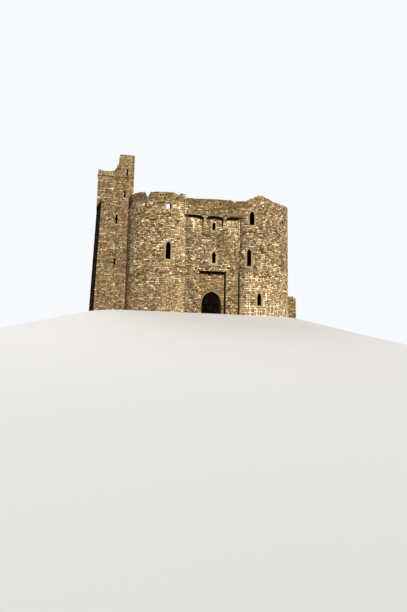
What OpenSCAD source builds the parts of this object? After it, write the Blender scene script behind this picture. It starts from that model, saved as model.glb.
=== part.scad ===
// Castle keep: a ruined gatehouse keep with two round-fronted towers, a gate
// bay between them under three machicolation arches, and a tall square watch
// turret at the left. Millimetres, +Z up, the front faces -Y. The origin lies
// on the ground in the middle of the gate, on the front face of the bay.

/* [Towers] */
// Outer radius of the round tower fronts
tower_r = 5200; // [4900:50:5400]
// Distance of each tower's centre from the middle of the gate
tower_x = 6000; // [5800:50:6200]
// Distance of the tower centres behind the front face of the bay
tower_y = 4600; // [4300:50:4700]
// Thickness of the outer walls
wall_t = 1700; // [1500:50:1900]
// Height of the outer walls up to the wall walk
wall_h = 14800; // [14800:50:15200]
// Depth of the keep from the front face of the bay to the rear face
keep_d = 16000; // [15000:100:18000]

/* [Storeys] */
// Top of the lower floors above the ground
lower_floor_z = 5600; // [5400:20:5650]
// Top of the upper floors above the ground
upper_floor_z = 10600; // [10000:50:11000]
// Thickness of the floors
floor_t = 400; // [300:10:500]
// Thickness of the roof platforms
roof_t = 500; // [400:10:600]

/* [Gate bay] */
// Width of the recess that took the raised bridge
recess_w = 3500; // [3300:10:3700]
// Height of the recess
recess_h = 5760; // [5650:10:6000]
// Depth of the recess behind the face of the bay
recess_d = 550; // [450:10:800]
// Height of the stone sill at the foot of the recess
sill_h = 150; // [100:10:250]
// How far the sill stands out in front of the bay
sill_out = 100; // [60:10:150]
// Thickness of the walls beside the passage
passage_t = 1650; // [1500:10:1700]
// Width of the gate opening
gate_w = 2600; // [2300:10:2700]
// Height at which the gate arch springs
gate_spring = 1600; // [1500:10:1800]
// Rise of the gate arch above its springing
gate_rise = 1600; // [1500:10:1700]
// Width of the dressed ring round the gate arch
gate_ring = 190; // [150:10:280]
// Height at which the face of the bay steps back
offset_z = 9090; // [9060:10:9400]
// Depth of that step
offset_d = 120; // [80:10:200]
// Height of the bay's roof platform
bay_roof_z = 14000; // [13900:20:14200]
// Radius of the barrel vault over the passage
vault_r = 1600; // [1500:10:1620]
// Height at which the vault springs
vault_spring = 2900; // [2800:10:3200]

/* [Machicolation] */
// How far the arches stand in front of the bay's lower face
mach_out = 330; // [300:10:420]
// Thickness of the wall on the arches
mach_t = 260; // [220:10:300]
// Distance of the middle arch from the middle of the gate
mach_x = 170; // [100:10:200]
// Clear span of the middle arch
mach_span = 2220; // [2100:10:2300]
// How much further the outer arches run, to die into the towers
mach_run = 780; // [650:10:900]
// Width of each pier between the arches
mach_pier = 400; // [350:10:450]
// Height at which the arches spring
mach_spring = 12900; // [12750:10:12950]
// Rise of the arches
mach_rise = 270; // [220:10:320]
// How far the piers reach down from the springs to the corbels
mach_leg = 650; // [550:10:700]
// Top of the wall on the arches
mach_top = 15430; // [15200:10:15600]
// How far that wall runs past the middle arch and its two neighbours
mach_end = 350; // [250:10:400]
// Height of the corbels under the piers
corbel_h = 750; // [600:10:900]

/* [Windows] */
// Width of the plain lights and of those in the right tower
light_w = 560; // [450:10:620]
// Width of the left tower's lancet
left_lancet_w = 620; // [500:10:650]
// Width of the left tower's upper window
left_window_w = 780; // [650:10:800]
// Height of the lancet lights
lancet_h = 2330; // [2000:10:2400]
// Sill of the left tower's lancet
left_lancet_z = 6930; // [6700:10:7200]
// Sill of the left tower's upper window, above its blocked part
left_window_z = 13650; // [13550:10:13680]
// Height of the left tower's upper window
left_window_h = 900; // [820:10:900]
// Sill of the right tower's lancet
right_middle_z = 6590; // [6400:10:6900]
// Sill of the right tower's upper window
right_upper_z = 12180; // [12000:10:12300]
// Width of the right tower's upper window
right_upper_w = 640; // [560:10:660]
// Height of the right tower's upper window
right_upper_h = 1900; // [1700:10:1900]
// Sill of the right tower's lower window
right_lower_z = 1360; // [1200:10:1600]
// Height of the right tower's lower window
right_lower_h = 1700; // [1500:10:1800]
// Width of the bay's small upper light
bay_upper_w = 430; // [350:10:500]
// Height of the bay's small upper light
bay_upper_h = 1060; // [900:10:1080]
// Sill of the bay's small upper light
bay_upper_z = 11350; // [11300:10:11380]
// Width of the bay's cusped lower light
bay_lower_w = 620; // [500:10:700]
// Height of the bay's cusped lower light
bay_lower_h = 1650; // [1400:10:1650]
// Sill of the bay's cusped lower light
bay_lower_z = 6850; // [6700:10:7000]
// Length of the sill course under the cusped light
bay_sill_w = 1700; // [1400:10:2000]
// Height of that course
bay_sill_h = 110; // [80:10:150]
// How far that course stands out
bay_sill_out = 70; // [40:10:100]
// Width of the dressed stone round each light
dressing_w = 200; // [120:10:200]
// Depth of the dressed stone into the wall
dressing_d = 350; // [250:10:450]
// Width of the splayed embrasures behind the lights, at the inner face
embrasure_w = 1000; // [850:10:1050]
// Height of the plain windows in the side and rear walls
plain_h = 1800; // [1600:10:1900]
// Sill of the plain windows above each floor
plain_sill = 1200; // [1000:10:1400]
// Clear width of the doorways
door_w = 1100; // [900:10:1200]
// Height of the doorways
door_h = 2200; // [2000:10:2300]

/* [Watch turret] */
// Width of the turret
turret_w = 4910; // [4700:10:5000]
// Depth of the turret
turret_d = 4800; // [4600:50:5200]
// Distance of the turret's front face behind the face of the bay
turret_y = 3800; // [3600:20:4000]
// Distance of the turret's right face from the middle of the gate
turret_x = 10500; // [10450:10:10600]
// Thickness of the turret walls
turret_t = 1000; // [900:20:1100]
// Height of the turret's roof platform
turret_h = 19300; // [18600:50:19800]
// Height of the broken parapet above the platform
turret_par_h = 620; // [500:20:900]
// How far that parapet rises at its left corner
turret_corner = 170; // [100:10:300]
// Thickness of the turret's parapet
turret_par_t = 500; // [400:10:600]
// Height of the string course under the parapet
string_h = 150; // [100:10:200]
// How far the string course stands out
string_out = 70; // [40:10:100]
// How far the left face and the splay lean out at the ground
batter = 420; // [300:10:500]
// Width of the splayed front left corner
splay_w = 640; // [500:10:700]
// Depth of the splay along the left face
splay_d = 1750; // [1500:10:2200]
// Height at which the splay ends on the left face
splay_z = 14750; // [13500:50:15200]
// Height to which its stop rises at the front face
splay_stop = 1050; // [800:10:1300]
// Width of the narrow slits
slit_w = 220; // [180:10:280]
// Height of the stair's slits
slit_h = 900; // [700:10:1100]
// Sill of the lower slit
low_slit_z = 6850; // [6000:50:7500]
// Sill of the upper slit
high_slit_z = 16340; // [15800:20:16800]
// Sill of the cross loop
loop_z = 12620; // [12200:20:13000]
// Height of the cross loop
loop_h = 1240; // [1000:10:1400]
// Width of the cross loop across its arms
loop_arm = 410; // [350:10:600]
// Width of the stair head on the turret roof
head_w = 2060; // [1900:10:2300]
// Depth of the stair head
head_d = 2400; // [2200:10:2800]
// Height of the stair head above the platform
head_h = 3220; // [2800:20:3400]
// Thickness of the stair head's walls
head_t = 450; // [400:10:500]
// How far the broken wing wall runs on from the stair head
wing_w = 780; // [600:10:900]

/* [Parapets] */
// Thickness of the tower parapets
par_t = 600; // [450:10:700]
// Height of the broken parapet above the wall walk
par_h = 560; // [450:10:700]
// Height of the merlons above the parapet
merlon_h = 620; // [400:10:700]
// Width of the merlons on the side and rear walls
merlon_w = 1500; // [1200:10:1700]
// Clear width of the gaps between those merlons
crenel_w = 1150; // [900:10:1300]

/* [Curtain wall] */
// Length of the stub of curtain wall beyond the right tower
stub_l = 1000; // [800:20:2000]
// Thickness of the curtain wall
stub_t = 1200; // [900:20:1400]
// Height of the stub
stub_h = 3550; // [3000:20:4000]
// Height of the broken end of the stub, below the rest
stub_drop = 250; // [150:10:400]

/* [Hidden] */
$fn = 360;

stone = [0.52, 0.48, 0.41];
dressed = [0.74, 0.69, 0.58];
lichened = [0.56, 0.49, 0.36];

side_x = tower_x + tower_r;           // outer faces of the side walls
room_r = tower_r - wall_t;            // inner radius of the round fronts
room_x = recess_w / 2 + passage_t;    // tower rooms start here
rear_in = keep_d - wall_t;            // inner face of the rear wall
split_in = 200;                       // edges of the round wall pieces
split_a = 282;
split_b = 320;
cut = 50;                             // how far cutters run past a face
turret_l = -turret_x - turret_w;      // left face of the turret
head_x = -turret_x - head_w;          // left face of the stair head
storey_sills = [right_lower_z, lower_floor_z + plain_sill,
  upper_floor_z + plain_sill];

// Each light: [place, sill height, full height, width, shape of its head]. The
// place is an angle seen from above on the right tower, or x in the bay.
left_lancet = [269, left_lancet_z, lancet_h, left_lancet_w, "pointed"];
left_window = [270.2, left_window_z, left_window_h, left_window_w, "round"];
right_upper = [260, right_upper_z, right_upper_h, right_upper_w, "pointed"];
right_middle = [256, right_middle_z, lancet_h, light_w, "pointed"];
right_lower = [271, right_lower_z, right_lower_h, light_w, "pointed"];
bay_upper = [100, bay_upper_z, bay_upper_h, bay_upper_w, "round"];
bay_lower = [140, bay_lower_z, bay_lower_h, bay_lower_w, "cusped"];

// Broken tops of the round parapets: [across the front in tower radii,
// height above the parapet in merlons]. The left tower's is mirrored.
left_top = [[-0.6, 0], [-0.437, 0], [-0.43, 0.82], [-0.285, 0.9],
  [-0.275, 0.3], [-0.225, 0.3], [-0.2, 0.65], [-0.16, 0.84], [0.445, 0.9],
  [0.49, 0.05], [0.545, 0.05], [0.585, 1.05], [0.833, 1.4], [0.912, 1.5],
  [1, 1.3]];
right_top = [[-0.6, 0.1], [-0.302, 0.1], [-0.154, 0.7], [0.027, 1.43],
  [0.162, 1], [0.325, 0.5], [0.494, 0.5], [0.61, 0.35], [0.842, 0.65],
  [0.95, 1.02], [1, 1.78]];
// Broken top of the wall on the arches: [across in half lengths, fall]
mach_edge = [[-1, 60], [-0.4, 65], [-0.02, 0], [0.5, 0], [0.57, 50],
  [0.62, 200], [0.68, 245], [0.74, 80], [0.8, 0], [0.87, 85], [0.95, 80],
  [1, 0]];

// Outlines and cutters

// Outline with a pointed head, standing on the X axis
module pointed(w, spring, rise) {
  c = (rise * rise - w * w / 4) / w;
  r = w / 2 + c;
  translate([-w / 2, 0]) square([w, spring]);
  intersection() {
    translate([-c, spring]) circle(r);
    translate([c, spring]) circle(r);
    translate([-w / 2, spring - 1]) square([w, rise + 2]);
  }
}

// Outline of a light with full height h
module light(w, h, head) {
  if (head == "pointed") pointed(w, h - 0.87 * w, 0.87 * w);
  if (head == "round") {
    translate([-w / 2, 0]) square([w, h - w / 2]);
    translate([0, h - w / 2]) circle(w / 2);
  }
  if (head == "cusped") {
    translate([-0.38 * w, 0]) square([0.76 * w, h - 0.9 * w]);
    translate([0, h - 0.9 * w]) circle(w / 2);
    pointed(0.62 * w, h - 0.75 * w, 0.75 * w);
  }
}

// Outer edge of the dressed stone round a light
module dressing(s) {
  head = s[4] == "cusped" ? "pointed" : s[4];
  translate([0, -dressing_w])
    light(s[3] + 2 * dressing_w, s[2] + 2 * dressing_w, head);
}

// Stands a flat outline up so that it faces the front, from y0 back over d
module upright(y0, d) {
  translate([0, y0 + d, 0]) rotate([90, 0, 0]) linear_extrude(d) children();
}

// Puts a cutter on the round front of the right tower at angle a
module on_round(a) {
  translate([tower_x, tower_y, 0]) rotate([0, 0, a - 270])
    translate([0, -tower_r, 0]) children();
}

// Embrasure behind a light, splayed out to the inner face under a flat lintel
module embrasure(s) {
  back = wall_t * 1.25;
  linear_extrude(s[2]) polygon([[s[3] / 2, dressing_d],
    [embrasure_w / 2, wall_t], [embrasure_w / 2, back],
    [-embrasure_w / 2, back], [-embrasure_w / 2, wall_t],
    [-s[3] / 2, dressing_d]]);
}

// Seat of a light's dressing in the round front, and the embrasure behind it
module round_light(s) {
  on_round(s[0]) translate([0, 0, s[1]]) {
    upright(-wall_t / 4, wall_t / 4 + dressing_d) dressing(s);
    embrasure(s);
  }
}
// The same for the left tower's upper window. Behind the parapet its embrasure
// has fallen in, and the breach is open up to the wall walk.
module breached_light(s) {
  on_round(s[0]) translate([0, 0, s[1]]) {
    upright(-wall_t / 4, wall_t / 4 + dressing_d) dressing(s);
    upright(dressing_d - cut, par_t) light(s[3], s[2], s[4]);
    translate([-light_w / 2, par_t, 0]) cube([light_w, wall_t, wall_h - s[1] + cut]);
  }
}
// Dressed stone round a light in the round front, flush with its face
module round_frame(s) {
  color(dressed) intersection() {
    on_round(s[0]) translate([0, 0, s[1]]) difference() {
      upright(-wall_t / 4, wall_t / 4 + dressing_d) dressing(s);
      upright(-wall_t / 3, wall_t / 2 + dressing_d) light(s[3], s[2], s[4]);
    }
    translate([tower_x, tower_y, 0]) cylinder(r = tower_r, h = wall_h);
  }
}

// The same for a light in the flat face of the bay at y0
module flat_light(s, y0) {
  translate([s[0], y0, s[1]]) {
    upright(-cut, cut + dressing_d) dressing(s);
    embrasure(s);
  }
}
module flat_frame(s, y0) {
  color(dressed) translate([s[0], 0, s[1]]) difference() {
    upright(y0, dressing_d) dressing(s);
    upright(y0 - cut, dressing_d + 2 * cut) light(s[3], s[2], s[4]);
  }
}

// Flat sector of the round front, in plan
module sector(a0, a1) {
  far = 2 * tower_r;
  mid = (a0 + a1) / 2;
  translate([tower_x, tower_y])
    polygon([[0, 0], for (a = [a0, mid, a1]) far * [cos(a), sin(a)]]);
}

// Tower room in plan: a round front and a square back
module room() {
  intersection() {
    union() {
      translate([tower_x, tower_y]) circle(room_r);
      translate([room_x, tower_y])
        square([tower_x + room_r - room_x, rear_in - tower_y]);
    }
    translate([room_x, 0]) square([tower_r * 2, keep_d]);
  }
}

module turret_block() {
  translate([turret_l - batter, turret_y, -cut])
    cube([turret_w + batter, turret_d, turret_h * 2]);
}

module left() { mirror([1, 0, 0]) children(); }

// Tower pieces, written for the right tower

module round_wall(a0, a1) {
  linear_extrude(wall_h) difference() {
    intersection() {
      sector(a0, a1);
      union() {
        translate([tower_x, tower_y]) circle(tower_r);
        translate([room_x, 0]) square([tower_x - room_x, tower_y]);
      }
      translate([room_x, -tower_r]) square([tower_r * 3, tower_r + tower_y]);
    }
    room();
  }
}

module side_wall() {
  difference() {
    translate([tower_x + room_r, tower_y, 0])
      cube([wall_t, rear_in - tower_y, wall_h]);
    for (z = storey_sills)
      translate([tower_x + room_r - cut, (turret_y + turret_d + rear_in) / 2, z])
        rotate([90, 0, 90]) linear_extrude(wall_t + 2 * cut)
          light(light_w, plain_h, "pointed");
  }
}

module rear_wall() {
  difference() {
    translate([room_x, rear_in, 0])
      cube([side_x - room_x, wall_t, wall_h]);
    for (z = storey_sills)
      translate([tower_x, 0, z])
        upright(rear_in - cut, wall_t + 2 * cut)
          light(light_w, plain_h, "pointed");
  }
}

module tower_floor(z, t) {
  translate([0, 0, z - t]) linear_extrude(t) room();
}

// Outer face of the tower in plan, moved in by inset
module tower_outline(inset) {
  translate([tower_x, tower_y]) circle(tower_r - inset);
  translate([room_x, tower_y])
    square([side_x - inset - room_x, keep_d - tower_y]);
}
module parapet_plan() {
  intersection() {
    difference() {
      tower_outline(0);
      tower_outline(par_t);
    }
    translate([room_x, -tower_r]) square([tower_r * 3, tower_r + keep_d]);
  }
}
// Parapet of the round front with its broken top, and of the side wall
module tower_parapet(top) {
  base = wall_h + par_h;
  translate([0, 0, wall_h]) linear_extrude(par_h) parapet_plan();
  intersection() {
    translate([0, 0, wall_h]) linear_extrude(par_h + 2 * merlon_h)
      intersection() {
        parapet_plan();
        translate([0, -tower_r]) square([tower_r * 3, tower_r + tower_y]);
      }
    upright(-tower_r, 2 * tower_r + keep_d) polygon([
      [tower_x + top[0][0] * tower_r, wall_h],
      for (p = top) [tower_x + p[0] * tower_r, base + p[1] * merlon_h],
      [side_x + cut, base + top[len(top) - 1][1] * merlon_h],
      [side_x + cut, wall_h]]);
  }
  for (y = [tower_y + merlon_w : merlon_w + crenel_w : keep_d - merlon_w])
    translate([side_x - par_t, y, wall_h])
      cube([par_t, merlon_w, par_h + merlon_h]);
}

// Left tower

module left_outer_wall() {
  color(stone) difference() {
    left() round_wall(split_b, 360);
    turret_block();
  }
}
module left_front_wall() {
  color(stone) left() round_wall(split_a, split_b);
}
module left_inner_wall() {
  color(stone) left() difference() {
    round_wall(split_in, split_a);
    round_light(left_lancet);
    breached_light(left_window);
  }
}
module left_side_wall() {
  color(stone) difference() {
    left() side_wall();
    turret_block();
  }
}
module left_rear_wall() { color(stone) left() rear_wall(); }
module left_lower_floor() {
  color(stone) left() tower_floor(lower_floor_z, floor_t);
}
module left_upper_floor() {
  color(stone) left() tower_floor(upper_floor_z, floor_t);
}
module left_parapet() {
  color(lichened) difference() {
    left() tower_parapet(left_top);
    turret_block();
  }
}
module left_lancet_frame() { left() round_frame(left_lancet); }
module left_window_frame() { left() round_frame(left_window); }

// Right tower

module right_outer_wall() { color(stone) round_wall(split_b, 360); }
module right_front_wall() { color(stone) round_wall(split_a, split_b); }
module right_inner_wall() {
  color(stone) difference() {
    round_wall(split_in, split_a);
    round_light(right_upper);
    round_light(right_middle);
    round_light(right_lower);
  }
}
module right_side_wall() { color(stone) side_wall(); }
module right_rear_wall() { color(stone) rear_wall(); }
module right_lower_floor() { color(stone) tower_floor(lower_floor_z, floor_t); }
module right_upper_floor() { color(stone) tower_floor(upper_floor_z, floor_t); }
module right_roof() { color(stone) tower_floor(wall_h, roof_t); }
module right_parapet() { color(lichened) tower_parapet(right_top); }
module right_upper_frame() { round_frame(right_upper); }
module right_middle_frame() { round_frame(right_middle); }
module right_lower_frame() { round_frame(right_lower); }

// Gate bay

// Wall beside the passage; below the recess head it comes forward as a pier
module passage_wall() {
  door_y = (tower_y + rear_in - door_w) / 2;
  difference() {
    union() {
      translate([recess_w / 2, 0, 0]) cube([passage_t, rear_in, recess_h]);
      translate([recess_w / 2, wall_t, 0])
        cube([passage_t, rear_in - wall_t, bay_roof_z]);
    }
    for (z = [-cut, lower_floor_z, upper_floor_z])
      translate([recess_w / 2 - cut, door_y, z])
        cube([passage_t + 2 * cut, door_w, door_h + (z < 0 ? cut : 0)]);
  }
}
module left_passage_wall() { color(stone) left() passage_wall(); }
module right_passage_wall() { color(stone) passage_wall(); }

module gate_outline(grow) {
  pointed(gate_w + 2 * grow, gate_spring, gate_rise + grow);
}
module gate_ring_outline() {
  intersection() {
    gate_outline(gate_ring);
    translate([-recess_w / 2, gate_spring - gate_ring])
      square([recess_w, recess_h]);
  }
}
// Back wall of the recess, over and beside the gate
module gate_panel() {
  color(lichened) difference() {
    translate([-recess_w / 2, recess_d, 0])
      cube([recess_w, wall_t - recess_d, recess_h]);
    upright(recess_d - cut, wall_t) gate_outline(0);
    upright(recess_d - cut, cut + dressing_d) gate_ring_outline();
  }
}
// Dressed ring of the gate arch
module gate_arch() {
  color(dressed) upright(recess_d, dressing_d) difference() {
    gate_ring_outline();
    gate_outline(0);
  }
}
// Sill across the foot of the recess, on which the lowered bridge bore
module gate_sill() {
  color(dressed) translate([-recess_w / 2, -sill_out, 0])
    cube([recess_w, sill_out + recess_d, sill_h]);
}
// Barrel vault over the passage; its flat top is the floor of the room above
module passage_vault() {
  color(stone) difference() {
    translate([-recess_w / 2, wall_t, vault_spring])
      cube([recess_w, rear_in - wall_t, lower_floor_z - vault_spring]);
    translate([0, wall_t - cut, vault_spring]) rotate([-90, 0, 0])
      cylinder(r = vault_r, h = rear_in);
  }
}
module bay_middle_wall() {
  color(stone) difference() {
    translate([-room_x, 0, recess_h])
      cube([2 * room_x, wall_t, offset_z - recess_h]);
    flat_light(bay_lower, 0);
    bay_sill(cut);
  }
}
module bay_upper_wall() {
  color(stone) {
    difference() {
      translate([-room_x, offset_d, offset_z])
        cube([2 * room_x, wall_t - offset_d, bay_roof_z - offset_z]);
      flat_light(bay_upper, offset_d);
    }
    for (k = [-1, 1])
      translate([mach_x + k * (mach_span + mach_pier) / 2, 0, 0]) corbel();
  }
}
// Corbel of three courses, each further out than the one below
module corbel() {
  reach = mach_out + offset_d;
  course = corbel_h / 3;
  for (i = [1:3])
    translate([-mach_pier / 2, offset_d - reach * i / 3,
        mach_spring - mach_leg - corbel_h + course * (i - 1)])
      cube([mach_pier, reach * i / 3 + cut, course]);
}
// Outline of one segmental arch, with the clear space between its piers
module arch_outline() {
  arch_r = (mach_span * mach_span / 4 + mach_rise * mach_rise) / (2 * mach_rise);
  intersection() {
    translate([0, mach_spring + mach_rise - arch_r]) circle(arch_r);
    translate([-mach_span / 2, mach_spring - cut])
      square([mach_span, mach_rise * 2]);
  }
  translate([-mach_span / 2, mach_spring - mach_leg - cut])
    square([mach_span, mach_leg + cut]);
}
// Three arches in front of the bay, and the wall that they carry. The outer
// arches are drawn out level and cut short by the wall's ends at the towers.
module machicolation() {
  step = mach_span + mach_pier;
  end_x = step + mach_span / 2 + mach_end;
  color(stone) difference() {
    upright(-mach_out, mach_t) translate([mach_x, 0]) difference() {
      polygon([[end_x, mach_spring - mach_leg], [-end_x, mach_spring - mach_leg],
        for (p = mach_edge) [p[0] * end_x, mach_top - p[1]]]);
      arch_outline();
      for (k = [0, 1]) mirror([k, 0]) translate([step, 0]) {
        arch_outline();
        translate([mach_run, 0]) arch_outline();
        translate([0, mach_spring - mach_leg - cut])
          square([mach_run, mach_leg + mach_rise + cut]);
      }
    }
    for (k = [-1, 1]) translate([k * tower_x, tower_y, 0])
      cylinder(r = tower_r, h = wall_h * 2);
  }
}
module bay_upper_floor() {
  color(stone) translate([-recess_w / 2, wall_t, upper_floor_z - floor_t])
    cube([recess_w, rear_in - wall_t, floor_t]);
}
module bay_roof() {
  color(stone) translate([-recess_w / 2, wall_t, bay_roof_z - roof_t])
    cube([recess_w, rear_in - wall_t, roof_t]);
}
module bay_upper_frame() { flat_frame(bay_upper, offset_d); }
// Sill course under the cusped light; front is how far it is carried on
module bay_sill(front) {
  translate([bay_lower[0] - bay_sill_w / 2, -bay_sill_out - front,
      bay_lower_z - dressing_w - bay_sill_h])
    cube([bay_sill_w, bay_sill_out + front + dressing_d / 2, bay_sill_h]);
}
module bay_lower_frame() {
  flat_frame(bay_lower, 0);
  color(dressed) bay_sill(0);
}

module rear_gate_wall() {
  color(stone) difference() {
    translate([-room_x, rear_in, 0]) cube([2 * room_x, wall_t, wall_h]);
    upright(rear_in - cut, wall_t + 2 * cut) gate_outline(0);
    for (z = [storey_sills[1], storey_sills[2]]) translate([0, 0, z])
      upright(rear_in - cut, wall_t + 2 * cut)
        light(light_w, plain_h, "pointed");
  }
}
module rear_parapet() {
  w = side_x - par_t;
  step = merlon_w + crenel_w;
  n = floor((2 * w - crenel_w) / step);
  x0 = -(n * step - crenel_w) / 2;
  color(lichened) {
    translate([-w, keep_d - par_t, wall_h]) cube([2 * w, par_t, par_h]);
    for (i = [0 : n - 1]) translate([x0 + i * step, keep_d - par_t, wall_h])
      cube([merlon_w, par_t, par_h + merlon_h]);
  }
}

// Watch turret

// Face of the turret in elevation, with the leaning left edge
module turret_face() {
  polygon([[turret_l - batter, 0], [-turret_x, 0], [-turret_x, turret_h],
    [turret_l, turret_h], [turret_l, splay_z + splay_stop]]);
}
// Splayed front left corner. It leans with the left face below, and ends in a
// sloping stop.
module corner_splay() {
  top = splay_z + splay_stop;
  in_x = turret_l + splay_w;
  out_w = splay_w + batter + cut;
  rise = splay_stop / splay_w;
  intersection() {
    translate([in_x, turret_y, top]) rotate([0, atan(batter / top), 0])
      translate([0, 0, -2 * top]) linear_extrude(3 * top) polygon([
        [0, -cut], [-out_w, -cut], [-out_w, splay_d * out_w / splay_w],
        [0, 0]]);
    upright(turret_y - 2 * cut, turret_d) polygon([
      [in_x - out_w, -cut], [in_x, -cut], [in_x, top],
      [in_x - out_w, top - rise * out_w]]);
  }
}
// Cutter for a slit whose middle stands at x
module slit(x, z, w, h) {
  translate([x - w / 2, turret_y - cut, z]) cube([w, turret_t + 2 * cut, h]);
}
module turret_front_wall() {
  loop_x = turret_l + turret_w * 0.56;
  color(stone) difference() {
    upright(turret_y, turret_t) turret_face();
    slit(loop_x, low_slit_z, slit_w, slit_h);
    slit(loop_x, loop_z, slit_w, loop_h);
    slit(loop_x, loop_z + 0.4 * loop_h, loop_arm, slit_w);
    slit(head_x + 0.43 * head_w, high_slit_z, slit_w, slit_h);
    corner_splay();
  }
}
module turret_left_wall() {
  color(stone) difference() {
    upright(turret_y + turret_t, turret_d - 2 * turret_t) intersection() {
      turret_face();
      translate([turret_l - batter, 0])
        square([turret_t + batter, turret_h]);
    }
    corner_splay();
  }
}
module turret_right_wall() {
  color(stone) translate([-turret_x - turret_t, turret_y + turret_t, 0])
    cube([turret_t, turret_d - 2 * turret_t, turret_h]);
}
module turret_rear_wall() {
  color(stone) difference() {
    upright(turret_y + turret_d - turret_t, turret_t) turret_face();
    translate([turret_l + (turret_w - door_w) / 2, turret_y + turret_t, -cut])
      cube([door_w, turret_d, door_h + cut]);
  }
}
module turret_roof() {
  color(stone)
    translate([turret_l + turret_t, turret_y + turret_t, turret_h - roof_t])
      cube([turret_w - 2 * turret_t, turret_d - 2 * turret_t, roof_t]);
}
// String course and broken parapet, open where the stair head stands
module turret_parapet() {
  o = string_out;
  color(lichened) difference() {
    union() {
      translate([turret_l - o, turret_y - o, turret_h])
        cube([turret_w + 2 * o, turret_d + 2 * o, string_h]);
      translate([0, 0, turret_h]) upright(turret_y, turret_d) polygon([
        [turret_l, 0], [turret_l, turret_par_h + turret_corner],
        [turret_l + turret_par_t, turret_par_h],
        [-turret_x, turret_par_h], [-turret_x, 0]]);
    }
    translate([turret_l + turret_par_t, turret_y + turret_par_t, turret_h - cut])
      cube([turret_w - 2 * turret_par_t, turret_d - 2 * turret_par_t,
        turret_par_h * 2]);
    translate([head_x - wing_w, turret_y - 2 * o, turret_h - cut])
      cube([head_w + wing_w + 4 * o, turret_par_t + 2 * o, turret_par_h * 2]);
    translate([head_x, turret_y, turret_h - cut])
      cube([head_w + 4 * o, head_d, turret_par_h * 2]);
  }
}
// Front wall of the stair head, with a wing wall broken in steps at its left
module stair_head_front() {
  w = wing_w;
  h = head_h - turret_par_h;
  color(stone) difference() {
    translate([0, 0, turret_h]) upright(turret_y, head_t) polygon([
      [head_x - w, 0], [-turret_x, 0], [-turret_x, head_h - 0.04 * h],
      [head_x + 0.5 * head_w, head_h], [head_x, head_h - 0.03 * h],
      [head_x - 0.09 * w, turret_par_h + 0.64 * h],
      [head_x - 0.13 * w, turret_par_h + 0.39 * h],
      [head_x - 0.23 * w, turret_par_h + 0.35 * h],
      [head_x - 0.26 * w, turret_par_h + 0.29 * h],
      [head_x - 0.43 * w, turret_par_h + 0.27 * h],
      [head_x - 0.47 * w, turret_par_h + 0.2 * h],
      [head_x - 0.7 * w, turret_par_h + 0.18 * h],
      [head_x - 0.75 * w, turret_par_h + 0.07 * h],
      [head_x - w, turret_par_h + 0.02 * h]]);
    slit(head_x + 0.54 * head_w, turret_h + 0.07 * head_h, slit_w, slit_h);
  }
}
// The other three walls, with the doorway onto the turret roof at the left
module stair_head_rear() {
  room_w = head_w - 2 * head_t;
  room_d = head_d - 2 * head_t;
  color(stone) difference() {
    translate([head_x, turret_y + head_t, turret_h])
      cube([head_w, head_d - head_t, 0.95 * head_h]);
    translate([head_x + head_t, turret_y, turret_h - cut])
      cube([room_w, head_t + room_d, head_h * 2]);
    translate([head_x - cut, turret_y + head_t + 0.2 * room_d, turret_h - cut])
      cube([head_t + 2 * cut, 0.6 * room_d, 0.62 * head_h]);
  }
}

// Curtain wall

module curtain_wall() {
  y0 = tower_y - stub_t;
  color(stone) difference() {
    union() {
      translate([tower_x, y0, 0])
        cube([tower_r + stub_l, stub_t, stub_h - stub_drop]);
      translate([tower_x, y0, 0])
        cube([tower_r + 0.6 * stub_l, stub_t, stub_h]);
    }
    translate([tower_x, tower_y, -cut]) cylinder(r = tower_r, h = wall_h);
  }
}

left_outer_wall();
left_front_wall();
left_inner_wall();
left_side_wall();
left_rear_wall();
left_lower_floor();
left_upper_floor();
left_parapet();
right_outer_wall();
right_front_wall();
right_inner_wall();
right_side_wall();
right_rear_wall();
right_lower_floor();
right_upper_floor();
right_roof();
right_parapet();
left_passage_wall();
right_passage_wall();
gate_panel();
gate_arch();
gate_sill();
passage_vault();
bay_middle_wall();
bay_upper_wall();
machicolation();
bay_upper_floor();
bay_roof();
rear_gate_wall();
rear_parapet();
turret_front_wall();
turret_left_wall();
turret_right_wall();
turret_rear_wall();
turret_roof();
turret_parapet();
stair_head_front();
stair_head_rear();
curtain_wall();
left_lancet_frame();
left_window_frame();
right_upper_frame();
right_middle_frame();
right_lower_frame();
bay_upper_frame();
bay_lower_frame();
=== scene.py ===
import math
import random
import bmesh
import bpy
import numpy as np
from mathutils import Euler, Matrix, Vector
from mathutils.bvhtree import BVHTree


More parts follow.
